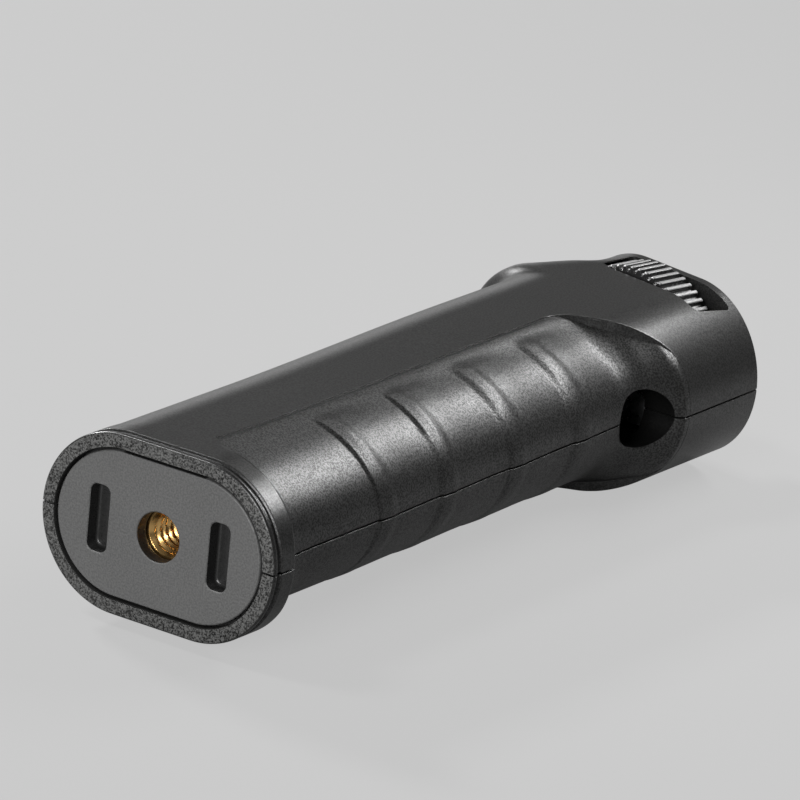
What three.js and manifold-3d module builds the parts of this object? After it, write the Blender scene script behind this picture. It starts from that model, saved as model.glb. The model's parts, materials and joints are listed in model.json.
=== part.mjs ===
// Flash grip: two moulded shells, a base plate with a brass thread, and a head with a thumbwheel
// that turns a clamping bolt. The grip lies on its side: X runs to the finger side, Y from the
// base end to the head, and Z up from the parting plane of the shells.
import * as THREE from 'three';
import { mergeVertices } from 'three/addons/utils/BufferGeometryUtils.js';
import Module from 'manifold-3d';

const wasm = await Module();
wasm.setup();

// Driving dimensions, in millimetres
const handleLength = 91; // base face to where the head starts to flare
const headHeight = 39.5; // from there to the centre of the head's end face, along Y
const headTilt = THREE.MathUtils.degToRad(12); // lean of the end face to the front
const baseLength = 41.4; // outline of the base flange, along X
const baseWidth = 27.3; // and along Z
const headLength = 40; // outline of the end face
const headWidth = 28;
const headFront = 22.2; // X of the head's flat front
const tailReach = 24.9; // how far the hand stop stands behind the axis
const handleBack = 21.4; // back of the handle where the head starts
const gripFront = 17.2; // front of the finger zone
const gripHalf = 13.1; // half thickness of the finger zone at the crease
const creaseX = 2.2; // X of the crease between side face and finger zone
const fingerCentreX = 0.7; // middle of the finger zone's oval
const wall = 2.4; // shell thickness
const seam = 0.3; // gap between the two shells
const clearance = 0.3; // gap between pieces that touch
const plateGap = 0.4; // gap round the base plate
const overrun = 2; // how far a cutter runs past what it cuts
const threadDiameter = 6.35; // quarter-inch thread of the bolt and of the brass insert

const gripLength = handleLength + headHeight;
const endCentreX = headFront - (headLength / 2) * Math.cos(headTilt);
const arcSteps = 14; // steps of each round end of an outline
const roundSteps = 32; // steps of a full circle
const filletTurns = [0, Math.PI / 6, Math.PI / 3, Math.PI / 2]; // steps of a round edge

// Solids

function solidOf(geometry) {
  geometry.deleteAttribute('normal');
  geometry.deleteAttribute('uv');
  const merged = mergeVertices(geometry);
  const vertProperties = new Float32Array(merged.attributes.position.array);
  const triVerts = new Uint32Array(merged.index.array);
  return new wasm.Manifold(new wasm.Mesh({ numProp: 3, vertProperties, triVerts }));
}

function geometryOf(solid) {
  const mesh = solid.getMesh();
  const geometry = new THREE.BufferGeometry();
  geometry.setAttribute('position', new THREE.BufferAttribute(mesh.vertProperties, 3));
  geometry.setIndex(new THREE.BufferAttribute(mesh.triVerts, 1));
  geometry.computeVertexNormals();
  return geometry;
}

// A closed skin over a row of rings that have as many points each and run the same way
function loft(rings) {
  const count = rings[0].length;
  const last = (rings.length - 1) * count;
  const points = rings.flat();
  const low = points.length;
  const faces = [];
  for (let row = 0; row < last; row += count) {
    for (let i = 0; i < count; i++) {
      const next = (i + 1) % count;
      faces.push(row + i, row + count + i, row + next);
      faces.push(row + next, row + count + i, row + count + next);
    }
  }
  for (let i = 0; i < count; i++) {
    const next = (i + 1) % count;
    faces.push(low, i, next);
    faces.push(low + 1, last + next, last + i);
  }
  const middle = (ring) => ring.reduce((sum, p) => sum.add(p), new THREE.Vector3()).divideScalar(count);
  points.push(middle(rings[0]), middle(rings.at(-1)));
  const geometry = new THREE.BufferGeometry().setFromPoints(points);
  geometry.setIndex(faces);
  return solidOf(geometry);
}

// An outline with two round ends, reaching back and front from the axis
function stadiumOutline(back, front, half) {
  const points = [];
  for (let i = 0; i <= arcSteps; i++) {
    const angle = Math.PI * (i / arcSteps - 1 / 2);
    points.push(new THREE.Vector2(front - half + half * Math.cos(angle), half * Math.sin(angle)));
  }
  for (let i = 0; i <= arcSteps; i++) {
    const angle = Math.PI * (i / arcSteps + 1 / 2);
    points.push(new THREE.Vector2(half - back + half * Math.cos(angle), half * Math.sin(angle)));
  }
  return points;
}

// An oval front, squarer with a higher power, and a round back
function fingerOutline(back, front, half, power) {
  const points = stadiumOutline(back, front, half);
  for (let i = 0; i <= arcSteps; i++) {
    const angle = Math.PI * (i / arcSteps - 1 / 2);
    const across = Math.abs(Math.sin(angle)) ** (2 / power) * Math.sign(Math.sin(angle));
    points[i].set(fingerCentreX + (front - fingerCentreX) * Math.cos(angle) ** (2 / power), half * across);
  }
  return points;
}

// Puts an outline at a point of the axis plane, leaning to the front by tilt
function ringAt(x, y, tilt, outline) {
  return outline.map((p) => new THREE.Vector3(x + p.x * Math.cos(tilt), y - p.x * Math.sin(tilt), p.y));
}

// An oblong with rounded corners
function roundedShape(length, width, radius) {
  const x = length / 2 - radius;
  const y = width / 2 - radius;
  const shape = new THREE.Shape();
  shape.absarc(x, y, radius, 0, Math.PI / 2);
  shape.absarc(-x, y, radius, Math.PI / 2, Math.PI);
  shape.absarc(-x, -y, radius, Math.PI, Math.PI * 3 / 2);
  shape.absarc(x, -y, radius, Math.PI * 3 / 2, Math.PI * 2);
  return shape;
}

function stadiumShape(length, width) {
  return new THREE.Shape(stadiumOutline(length / 2, length / 2, width / 2));
}

// A plate of the given shape, square to the length of the grip, from start to end
function plateAlong(shape, start, end) {
  const options = { depth: end - start, bevelEnabled: false, curveSegments: arcSteps };
  const geometry = new THREE.ExtrudeGeometry(shape, options);
  geometry.rotateX(Math.PI / 2);
  geometry.translate(0, end, 0);
  return solidOf(geometry);
}

// Cylinders along each axis, from start to end
function postAlongY(radius, x, start, end, z, steps = roundSteps) {
  const geometry = new THREE.CylinderGeometry(radius, radius, end - start, steps);
  geometry.translate(x, (start + end) / 2, z);
  return solidOf(geometry);
}

function postAlongZ(radius, x, y, start, end, steps = roundSteps) {
  const geometry = new THREE.CylinderGeometry(radius, radius, end - start, steps);
  geometry.rotateX(Math.PI / 2);
  geometry.translate(x, y, (start + end) / 2);
  return solidOf(geometry);
}

function postAlongX(radius, y, start, end, steps = roundSteps) {
  const geometry = new THREE.CylinderGeometry(radius, radius, end - start, steps);
  geometry.rotateZ(Math.PI / 2);
  geometry.translate((start + end) / 2, y, 0);
  return solidOf(geometry);
}

function block(low, high) {
  const size = high.clone().sub(low);
  const geometry = new THREE.BoxGeometry(size.x, size.y, size.z);
  geometry.translate((low.x + high.x) / 2, (low.y + high.y) / 2, (low.z + high.z) / 2);
  return solidOf(geometry);
}

// Places of the head: its own frame has its origin at the centre of the end face, with X to the
// front along the face and Y out of it
const headFrame = new THREE.Matrix4().makeRotationZ(-headTilt).setPosition(endCentreX, gripLength, 0);

function inHead(solid) {
  return solidOf(geometryOf(solid).applyMatrix4(headFrame));
}

// Moulded body

const baseFillet = 0.8; // round edge of the base flange
const endFillet = 0.5; // round edge of the end face
const flangeThickness = 4.5; // base flange in front of the finger zone
const neckFlare = 1.7; // how far the finger zone swells towards the flange
const neckRun = 9; // length over which it does
const creaseStart = 9.6; // base face to where the crease begins
const creaseBends = [1 / 3, 0.6]; // shares of the way to the front in which it turns along the flange
const waistEase = 0.3; // how much slimmer the back is behind the flange
const waistShares = [0.09, 0.37]; // of the handle's length, where it is
const ridgeStep = 0.5; // height of each finger ridge
const ridgeRun = 1.2; // length over which it rises
const ridgeShares = [0.324, 0.516, 0.708, 0.9]; // of the handle's length

// Rise of the hand stop: shares of the head's height, and of the way from the handle's back to its reach
const tailShares = [[0.481, 0], [0.527, 0.14], [0.557, 0.5], [0.582, 0.83], [0.608, 0.97], [0.63, 1]];
// Fall behind it: shares of the way up to the back edge of the end face, and of the way in to it
const crownShares = [[0.064, 0.07], [0.165, 0.2], [0.283, 0.34], [0.394, 0.49], [0.517, 0.71], [0.634, 0.88],
  [0.752, 0.95], [0.885, 0.99]];
// Flare of the finger zone into the head: share of the head's height, shares of the way to
// beyond the head's front and side, and power of the outline
const flareShares = [[0, 0, 0, 2], [0.1, 0.03, 0.25, 2.2], [0.177, 0.12, 0.3, 2.8], [0.253, 0.29, 0.42, 3],
  [0.329, 0.53, 0.6, 2.5], [0.38, 0.78, 0.8, 2], [0.42, 0.95, 1, 2]];
// Edge of the finger zone on the head: shares of the head's front, and of its height
const rimShares = [[0.914, 0.39], [0.829, 0.372], [0.676, 0.301], [0.518, 0.235], [0.405, 0.197],
  [0.302, 0.172], [0.225, 0.147], [0.162, 0.106]];
const neckShares = [[0, 1], [0.2, 0.45], [0.5, 0.14], [1, 0]]; // of the neck's run and flare

function hull() {
  const half = headWidth / 2;
  const rings = [];
  for (const turn of filletTurns) {
    const inset = baseFillet * (1 - Math.sin(turn));
    const outline = stadiumOutline(baseLength / 2 - inset, baseLength / 2 - inset, baseWidth / 2 - inset);
    rings.push(ringAt(0, baseFillet * (1 - Math.cos(turn)), 0, outline));
  }
  rings.push(ringAt(0, flangeThickness, 0, stadiumOutline(baseLength / 2, baseLength / 2, baseWidth / 2)));
  for (const share of waistShares) {
    const outline = stadiumOutline(baseLength / 2 - waistEase, baseLength / 2, baseWidth / 2);
    rings.push(ringAt(0, share * handleLength, 0, outline));
  }
  rings.push(ringAt(0, handleLength, 0, stadiumOutline(handleBack, headFront, half)));
  for (const [rise, out] of tailShares) {
    const back = handleBack + out * (tailReach - handleBack);
    rings.push(ringAt(0, handleLength + rise * headHeight, 0, stadiumOutline(back, headFront, half)));
  }
  const peakY = handleLength + tailShares.at(-1)[0] * headHeight;
  const endBack = (headLength / 2) * Math.cos(headTilt) - endCentreX;
  const endBackY = gripLength + (headLength / 2) * Math.sin(headTilt);
  for (const [index, [rise, inward]] of crownShares.entries()) {
    const lean = headTilt * (index + 1) / (crownShares.length + 1);
    const reach = (headFront + tailReach - inward * (tailReach - endBack)) / Math.cos(lean);
    const y = peakY + rise * (endBackY - peakY) - reach * Math.sin(lean);
    rings.push(ringAt(headFront, y, lean, stadiumOutline(reach, 0, half)));
  }
  for (const turn of filletTurns) {
    const inset = endFillet * (1 - Math.cos(turn));
    const below = endFillet * (1 - Math.sin(turn));
    const outline = stadiumOutline(headLength / 2 - inset, headLength / 2 - inset, half - inset);
    const x = endCentreX - below * Math.sin(headTilt);
    rings.push(ringAt(x, gripLength - below * Math.cos(headTilt), headTilt, outline));
  }
  return loft(rings);
}

// X of the front along the handle: each finger's pad falls away from the ridge before it
function fingerFront(y) {
  const pitch = (ridgeShares.at(-1) - ridgeShares[0]) * handleLength / (ridgeShares.length - 1);
  const past = ridgeShares.map((share) => y - share * handleLength).filter((d) => d > -ridgeRun);
  const since = past.length ? past.at(-1) : y - ridgeShares[0] * handleLength + pitch;
  const fall = THREE.MathUtils.clamp(since / pitch, 0, 1);
  const rise = THREE.MathUtils.clamp(since / ridgeRun + 1 / 2, 0, 1);
  return gripFront + ridgeStep * (rise - fall - 1 / 2);
}

function fingerStations() {
  const stations = neckShares.map(([run, out]) => {
    const y = flangeThickness + run * neckRun;
    return { y, front: fingerFront(y) + out * neckFlare, half: gripHalf, power: 2 };
  });
  for (const share of ridgeShares) {
    for (const y of [share * handleLength - ridgeRun / 2, share * handleLength + ridgeRun / 2]) {
      stations.push({ y, front: fingerFront(y), half: gripHalf, power: 2 });
    }
  }
  for (const [rise, out, wide, power] of flareShares) {
    const y = handleLength + rise * headHeight;
    const front = gripFront + out * (headFront + overrun - gripFront);
    const half = gripHalf + wide * (headWidth / 2 + overrun - gripHalf);
    stations.push({ y, front, half, power });
  }
  return stations;
}

// What the fingers hold stands a step below the side faces, from the flange to the head's flare
function fingerTrench() {
  const stations = fingerStations();
  stations.unshift({ ...stations[0], y: flangeThickness - overrun });
  const rings = stations.map((s) => ringAt(0, s.y, 0, fingerOutline(gripHalf, s.front, s.half, s.power)));
  const core = loft(rings);
  const far = headFront + overrun;
  const bend = (share) => creaseX + (far - creaseX) * share;
  const shape = new THREE.Shape();
  shape.moveTo(creaseX, creaseStart);
  shape.quadraticCurveTo(bend(creaseBends[0]), flangeThickness, bend(creaseBends[1]), flangeThickness);
  shape.lineTo(far, flangeThickness);
  shape.lineTo(far, handleLength + rimShares[0][1] * headHeight);
  for (const [x, rise] of rimShares) shape.lineTo(x * headFront, handleLength + rise * headHeight);
  shape.lineTo(creaseX, handleLength);
  const depth = 2 * headWidth;
  const geometry = new THREE.ExtrudeGeometry(shape, { depth, bevelEnabled: false, curveSegments: arcSteps });
  geometry.translate(0, 0, -headWidth);
  return solidOf(geometry).subtract(core);
}

// Base plate and its seat

const ringWidth = 2.3; // shell rim round the base plate
const plateSink = 0.2; // depth of the plate's face in the rim
const plateThickness = 3;
const lipReach = 0.9; // edge of the plate that the shells hold
const lipThickness = 1.2;
const throatDiameter = 7.5; // hole in the plate in front of the insert
const insertSink = 2.7; // base face to the insert
const insertDiameter = 9.8;
const insertLength = 10;
const slotSpacing = 21.3; // between the middles of the two blind slots
const slotLength = 10.2;
const slotWidth = 3.5;
const slotDepth = 2.4;
const slotCorner = 1.2;
const bossLength = 26; // block behind the plate that holds the insert
const bossWidth = 14;
const backplateLength = 24;
const backplateWidth = 11;
const backplateThickness = 1.5;
const smallScrewDiameter = 2.4;
const smallHeadDiameter = 4.4;
const smallHeadThickness = 1.5;
const smallScrewLength = 7;
const smallScrewSpacing = 18;

const plateLength = baseLength - 2 * (ringWidth + plateGap);
const plateWidth = baseWidth - 2 * (ringWidth + plateGap);
const plateBack = plateSink + plateThickness;
const insertEnd = insertSink + insertLength;
const backplateStart = insertEnd + clearance;
const backplateEnd = backplateStart + backplateThickness;

function basePlateSeat() {
  const opening = stadiumShape(plateLength + 2 * plateGap, plateWidth + 2 * plateGap);
  const lip = lipReach + clearance;
  const groove = stadiumShape(plateLength + 2 * lip, plateWidth + 2 * lip);
  const start = plateBack - lipThickness - clearance;
  return plateAlong(opening, -overrun, plateBack).add(plateAlong(groove, start, plateBack + clearance));
}

function basePlate() {
  const face = plateAlong(stadiumShape(plateLength, plateWidth), plateSink, plateBack);
  const edge = stadiumShape(plateLength + 2 * lipReach, plateWidth + 2 * lipReach);
  const lip = plateAlong(edge, plateBack - lipThickness, plateBack);
  const boss = plateAlong(stadiumShape(bossLength, bossWidth), plateBack - lipThickness, insertEnd);
  let plate = face.add(lip).add(boss);
  plate = plate.subtract(postAlongY(throatDiameter / 2, 0, -overrun, insertEnd + overrun, 0));
  const seat = insertDiameter / 2 + clearance;
  plate = plate.subtract(postAlongY(seat, 0, insertSink - clearance, insertEnd + overrun, 0));
  for (const side of [-1, 1]) {
    const x = side * slotSpacing / 2;
    const slot = roundedShape(slotWidth, slotLength, slotCorner);
    plate = plate.subtract(plateAlong(slot, plateSink - overrun, plateSink + slotDepth).translate([x, 0, 0]));
    const hole = smallScrewDiameter / 2 + clearance;
    const depth = backplateEnd + clearance - smallScrewLength - clearance;
    plate = plate.subtract(postAlongY(hole, side * smallScrewSpacing / 2, depth, insertEnd + overrun, 0));
  }
  return plate;
}

const insertFlats = 24; // faces round the gripped barrel of the insert
const insertChamfer = 0.4;

function baseInsert() {
  const barrel = postAlongY(insertDiameter / 2, 0, insertSink, insertEnd, 0, insertFlats);
  const bore = postAlongY(threadDiameter / 2, 0, insertSink - overrun, insertEnd + overrun, 0);
  const r = threadDiameter / 2;
  const mouth = new THREE.CylinderGeometry(r + insertChamfer, r, insertChamfer, roundSteps);
  mouth.rotateX(Math.PI);
  mouth.translate(0, insertSink + insertChamfer / 2, 0);
  return barrel.subtract(bore).subtract(solidOf(mouth));
}

function insertBackplate() {
  let plate = plateAlong(stadiumShape(backplateLength, backplateWidth), backplateStart, backplateEnd);
  const low = backplateStart - overrun;
  const high = backplateEnd + overrun;
  plate = plate.subtract(postAlongY(threadDiameter / 2 + clearance, 0, low, high, 0));
  for (const side of [-1, 1]) {
    const x = side * smallScrewSpacing / 2;
    plate = plate.subtract(postAlongY(smallScrewDiameter / 2 + clearance, x, low, high, 0));
  }
  return plate;
}

const headShares = [[0, 1], [0.5, 0.94], [0.84, 0.66], [1, 0]]; // of a head's radius and height

// A round-headed screw whose head starts at the origin and whose shank runs down the Y axis
function screwGeometry(shankDiameter, headDiameter, headThickness, length) {
  const points = [
    ...headShares.map(([r, y]) => [r * headDiameter / 2, y * headThickness]),
    [shankDiameter / 2, 0], [shankDiameter / 2, shankDiameter / 2 - length], [0, -length],
  ];
  return new THREE.LatheGeometry(points.map(([r, y]) => new THREE.Vector2(r, y)).reverse(), roundSteps / 2);
}

function insertScrew() {
  const geometry = screwGeometry(smallScrewDiameter, smallHeadDiameter, smallHeadThickness, smallScrewLength);
  return geometry.translate(0, backplateEnd + clearance, 0);
}

// Cross hole for an umbrella's shaft, with a leaf spring on its head side

const crossDiameter = 10;
const crossRise = 8.5; // above the start of the head
const springLength = 23;
const springWidth = 6.6;
const springThickness = 0.5;
const springBow = 1.2; // how far the middle of the spring stands off its ends
const springIntrusion = 0.6; // how far it stands into the hole
const springFront = 15; // X of its front end

const crossY = handleLength + crossRise;
const springLow = crossY + crossDiameter / 2 - springIntrusion;
const springTop = springLow + springBow + springThickness;

function crossHole() {
  const reach = tailReach + headFront;
  const bore = postAlongX(crossDiameter / 2, crossY, -reach, reach);
  const side = springWidth / 2 + clearance;
  const low = new THREE.Vector3(springFront - springLength - clearance, crossY, -side);
  const high = new THREE.Vector3(springFront + clearance, springTop + clearance, side);
  return bore.add(block(low, high));
}

const springSteps = 12; // straight runs that make its curve

function shaftSpring() {
  const lower = [];
  for (let i = 0; i <= springSteps; i++) {
    const share = i / springSteps;
    const bow = springBow * (1 + Math.cos(2 * Math.PI * share)) / 2;
    lower.push(new THREE.Vector2(springFront - springLength * share, springLow + bow));
  }
  const upper = lower.map((p) => new THREE.Vector2(p.x, p.y + springThickness)).reverse();
  const shape = new THREE.Shape([...lower, ...upper]);
  const geometry = new THREE.ExtrudeGeometry(shape, { depth: springWidth, bevelEnabled: false });
  return geometry.translate(0, 0, -springWidth / 2);
}

// Head: wheel, bolt, washers, bush and pad, in the head's own frame

const wheelDiameter = 30.3;
const wheelThickness = 5.8;
const wheelSink = 3; // end face to the wheel
const wheelTeeth = 60;
const toothDepth = 0.7;
const toothTopShares = [0.28, 0.72]; // flat top of a tooth, as shares of its pitch
const toothFootShares = [0.1, 0.9];
const wheelGap = 0.5; // round the wheel in its slot
const boltHeadFlats = 11; // across the flats of the bolt's head
const boltHeadThickness = 3.9;
const boltHeadSink = 0.2; // head below the wheel's lower face
const boltReach = 7.2; // thread above the end face
const boltChamfer = 0.8;
const washerDiameter = 16;
const washerThickness = 0.6;
const waveHeight = 0.35; // rise of the wave washer's waves
const waveThickness = 0.3;
const waveCount = 3;
const endWall = 2.6; // shell between the end face and the wheel's slot
const bushDiameter = 9; // flanged bush that guides the bolt
const bushFlangeDiameter = 13;
const bushFlangeThickness = 0.7;
const padLength = 31; // rubber pad in the end face
const padWidth = 19;
const padThickness = 1.3;
const padSeat = 0.9; // depth of its seat
const padBore = 10;
const windowBack = 9.1; // from the wheel's axis to the window's back edge
const windowFront = 14.3; // and to its front edge
const windowTop = 1.9; // end face to the window
const windowBottom = 9.9;
const windowFloor = 5.5; // Z of the pocket's floor
const windowCorner = 1;
const windowBackCorner = 3.5; // larger corner at the back, towards the base

const wheelLow = -(wheelSink + wheelThickness);
const slotLow = wheelLow - wheelGap;
const washerSeat = slotLow - clearance - washerThickness - waveHeight - waveThickness;

// The opening in a side face that lets a thumb reach the wheel
function windowCutter(side) {
  const shape = new THREE.Shape();
  const corners = [
    [windowFront, -windowBottom, windowCorner, -1 / 2], [windowFront, -windowTop, windowCorner, 0],
    [-windowBack, -windowTop, windowCorner, 1 / 2], [-windowBack, -windowBottom, windowBackCorner, 1],
  ];
  for (const [x, y, radius, start] of corners) {
    const insideX = x - Math.sign(x) * radius;
    const insideY = y === -windowTop ? y - radius : y + radius;
    shape.absarc(insideX, insideY, radius, start * Math.PI, (start + 1 / 2) * Math.PI);
  }
  const depth = headWidth / 2 + overrun - windowFloor;
  const options = { depth, bevelEnabled: false, curveSegments: arcSteps / 2 };
  const geometry = new THREE.ExtrudeGeometry(shape, options);
  geometry.translate(0, 0, side > 0 ? windowFloor : -windowFloor - depth);
  return solidOf(geometry);
}

function headCutters() {
  const slot = postAlongY(wheelDiameter / 2 + wheelGap, 0, slotLow, -endWall, 0, wheelTeeth);
  const seat = postAlongY(washerDiameter / 2 + clearance, 0, washerSeat, slotLow + clearance, 0);
  const bore = postAlongY(bushDiameter / 2 + clearance, 0, -endWall - clearance, overrun, 0);
  const flange = bushFlangeDiameter / 2 + clearance;
  const ledge = postAlongY(flange, 0, -endWall - clearance, -endWall + bushFlangeThickness + clearance, 0);
  const recess = stadiumShape(padLength + 2 * clearance, padWidth + 2 * clearance);
  const pad = plateAlong(recess, -padSeat, overrun);
  const solid = slot.add(seat).add(bore).add(ledge).add(pad);
  return inHead(solid.add(windowCutter(1)).add(windowCutter(-1)));
}

function thumbwheel() {
  const outer = wheelDiameter / 2;
  const points = [];
  for (let tooth = 0; tooth < wheelTeeth; tooth++) {
    const corners = [
      [toothFootShares[0], outer - toothDepth], [toothTopShares[0], outer],
      [toothTopShares[1], outer], [toothFootShares[1], outer - toothDepth],
    ];
    for (const [share, radius] of corners) {
      const angle = 2 * Math.PI * (tooth + share - 1 / 2) / wheelTeeth;
      points.push(new THREE.Vector2(radius * Math.cos(angle), radius * Math.sin(angle)));
    }
  }
  const recess = endWall + 2 * clearance + washerThickness - wheelSink;
  const pocket = boltHeadThickness + boltHeadSink + clearance;
  let wheel = plateAlong(new THREE.Shape(points), wheelLow, -wheelSink);
  wheel = wheel.subtract(postAlongY(threadDiameter / 2 + clearance, 0, wheelLow - overrun, overrun, 0));
  wheel = wheel.subtract(postAlongY(washerDiameter / 2 + clearance, 0, -wheelSink - recess, overrun, 0));
  const hex = (boltHeadFlats / 2 + clearance) / Math.cos(Math.PI / 6);
  return wheel.subtract(postAlongY(hex, 0, wheelLow - overrun, wheelLow + pocket, 0, 6));
}

function clampBolt() {
  const headLow = wheelLow + boltHeadSink;
  const corner = boltHeadFlats / 2 / Math.cos(Math.PI / 6);
  const head = postAlongY(corner, 0, headLow, headLow + boltHeadThickness, 0, 6);
  const r = threadDiameter / 2;
  const profile = [[0, headLow + boltHeadThickness / 2], [r, headLow + boltHeadThickness / 2],
    [r, boltReach - boltChamfer], [r - boltChamfer, boltReach], [0, boltReach]];
  const shank = new THREE.LatheGeometry(profile.map(([x, y]) => new THREE.Vector2(x, y)), roundSteps);
  return head.add(solidOf(shank));
}

function washer(low) {
  const high = low + washerThickness;
  const ring = postAlongY(washerDiameter / 2, 0, low, high, 0);
  return ring.subtract(postAlongY(threadDiameter / 2 + clearance, 0, low - overrun, high + overrun, 0));
}

// A thin ring that waves up and down as it goes round
function waveWasher(low) {
  const inner = threadDiameter / 2 + wheelGap + clearance;
  const outer = washerDiameter / 2;
  const faces = [];
  const points = [];
  for (let i = 0; i < roundSteps; i++) {
    const angle = 2 * Math.PI * i / roundSteps;
    const y = low + waveHeight * (1 + Math.cos(waveCount * angle)) / 2;
    for (const [r, up] of [[outer, 0], [outer, waveThickness], [inner, waveThickness], [inner, 0]]) {
      points.push(new THREE.Vector3(r * Math.cos(angle), y + up, r * Math.sin(angle)));
    }
    for (let corner = 0; corner < 4; corner++) {
      const here = 4 * i + corner;
      const above = 4 * i + (corner + 1) % 4;
      const ahead = 4 * ((i + 1) % roundSteps) + corner;
      const across = 4 * ((i + 1) % roundSteps) + (corner + 1) % 4;
      faces.push(here, above, ahead, above, across, ahead);
    }
  }
  const geometry = new THREE.BufferGeometry().setFromPoints(points);
  geometry.setIndex(faces);
  return solidOf(geometry);
}

function boltBush() {
  const barrel = postAlongY(bushDiameter / 2, 0, -endWall, clearance - padSeat, 0);
  const flange = postAlongY(bushFlangeDiameter / 2, 0, -endWall, bushFlangeThickness - endWall, 0);
  const bore = postAlongY(threadDiameter / 2 + clearance, 0, -endWall - overrun, overrun, 0);
  return barrel.add(flange).subtract(bore);
}

function topPad() {
  const low = clearance - padSeat;
  const pad = plateAlong(stadiumShape(padLength, padWidth), low, low + padThickness);
  return pad.subtract(postAlongY(padBore / 2, 0, low - overrun, low + padThickness + overrun, 0));
}

// Screws that join the shells, driven in from the left side

const bossDiameter = 7;
const screwDiameter = 2.8;
const screwHeadDiameter = 5.2;
const screwHeadThickness = 2;
const screwSink = 0.4; // head below the side face
const screwDepth = 7.5; // thread beyond the parting plane
const spineX = -1.8; // row of screws down the handle
const spineShares = [0.25, 0.57, 0.89]; // of the handle's length
const headScrewRise = 21; // head screws above the start of the head
const frontScrewX = 8.2;
const backScrewX = -8;

function screwPlaces() {
  const places = spineShares.map((share) => [spineX, share * handleLength]);
  return [...places, [frontScrewX, handleLength + headScrewRise], [backScrewX, handleLength + headScrewRise]];
}

const seatZ = -(baseWidth / 2 - screwSink - screwHeadThickness);

// Hollows between the walls: one in the handle and one under the wheel
const crossWall = 2; // round the cross hole
const floorUnderWheel = 2;
const frontWall = 3.4; // behind the finger zone, which puts the weight over the middle
const cavityFront = gripFront - ridgeStep / 2 - frontWall;
const cavityHalf = gripHalf - wall;
const cavityBack = baseLength / 2 - wall;

function handleHollow() {
  const outline = fingerOutline(cavityBack, cavityFront, cavityHalf, 2);
  const end = crossY - crossDiameter / 2 - crossWall;
  return loft([ringAt(0, plateBack, 0, outline), ringAt(0, end, 0, outline)]);
}

function headHollow() {
  const half = headWidth / 2 - wall;
  const low = springTop + clearance + crossWall;
  const drop = washerSeat - floorUnderWheel;
  const top = ringAt(
    endCentreX + drop * Math.sin(headTilt), gripLength + drop * Math.cos(headTilt), headTilt,
    stadiumOutline(headLength / 2 - wall, headLength / 2 - wall, half),
  );
  return loft([ringAt(0, low, 0, stadiumOutline(handleBack - wall, headFront - wall, half)), top]);
}

// Both shells in one, still without their parting
function body() {
  let bosses;
  for (const [x, y] of screwPlaces()) {
    const post = postAlongZ(bossDiameter / 2, x, y, -gripHalf + wall / 2, gripHalf - wall / 2);
    bosses = bosses ? bosses.add(post) : post;
  }
  const hollow = handleHollow().add(headHollow()).subtract(bosses);
  let solid = hull().subtract(fingerTrench()).subtract(hollow);
  solid = solid.subtract(crossHole()).subtract(basePlateSeat()).subtract(headCutters());
  const pilot = screwDiameter / 2 + clearance;
  const sink = screwHeadDiameter / 2 + clearance;
  for (const [x, y] of screwPlaces()) {
    solid = solid.subtract(postAlongZ(pilot, x, y, seatZ - overrun, screwDepth + clearance));
    solid = solid.subtract(postAlongZ(sink, x, y, -headWidth, seatZ - clearance));
  }
  return solid;
}

function halfOf(solid, side) {
  const reach = 2 * (gripLength + headLength);
  const near = seam / 2;
  const low = new THREE.Vector3(-reach, -reach, side > 0 ? near : -reach);
  const high = new THREE.Vector3(reach, reach, side > 0 ? reach : -near);
  return solid.intersect(block(low, high));
}

function housingScrew(x, y) {
  const length = screwDepth - seatZ + clearance;
  const geometry = screwGeometry(screwDiameter, screwHeadDiameter, screwHeadThickness, length);
  geometry.rotateX(-Math.PI / 2);
  return geometry.translate(x, y, seatZ - clearance);
}

// Scene

const finishes = {
  shell: { color: 0x2b2b2a, roughness: 0.62, metalness: 0 },
  plate: { color: 0x3b3b3b, roughness: 0.55, metalness: 0 },
  wheel: { color: 0x232323, roughness: 0.4, metalness: 0 },
  brass: { color: 0xb08a45, roughness: 0.3, metalness: 1 },
  steel: { color: 0xa7a9ac, roughness: 0.32, metalness: 1 },
  nylon: { color: 0xd9d6cc, roughness: 0.5, metalness: 0 },
  rubber: { color: 0x1a1a1a, roughness: 0.9, metalness: 0 },
};

function piece(parent, name, shape, finish) {
  const geometry = shape.isBufferGeometry ? shape : geometryOf(shape);
  const mesh = new THREE.Mesh(geometry, new THREE.MeshStandardMaterial(finishes[finish]));
  mesh.name = name;
  parent.add(mesh);
  return mesh;
}

const grip = new THREE.Group();
const whole = body();
piece(grip, 'right_shell', halfOf(whole, 1), 'shell');
piece(grip, 'left_shell', halfOf(whole, -1), 'shell');
piece(grip, 'base_plate', basePlate(), 'plate');
piece(grip, 'base_insert', baseInsert(), 'brass');
piece(grip, 'insert_backplate', insertBackplate(), 'steel');
for (const [index, side] of [-1, 1].entries()) {
  piece(grip, `insert_screw_${index + 1}`, insertScrew(), 'steel').position.x = side * smallScrewSpacing / 2;
}
piece(grip, 'shaft_spring', shaftSpring(), 'steel');
for (const [index, [x, y]] of screwPlaces().entries()) {
  piece(grip, `housing_screw_${index + 1}`, housingScrew(x, y), 'steel');
}

const head = new THREE.Group();
head.position.set(endCentreX, gripLength, 0);
head.rotation.z = -headTilt;
grip.add(head);
piece(head, 'thumbwheel', thumbwheel(), 'wheel');
piece(head, 'clamp_bolt', clampBolt(), 'steel');
piece(head, 'thrust_washer_upper', washer(-endWall - clearance - washerThickness), 'nylon');
piece(head, 'thrust_washer_lower', washer(slotLow - washerThickness + clearance / 2), 'nylon');
piece(head, 'wave_washer', waveWasher(washerSeat + clearance), 'steel');
piece(head, 'bolt_bush', boltBush(), 'brass');
piece(head, 'top_pad', topPad(), 'rubber');

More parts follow.
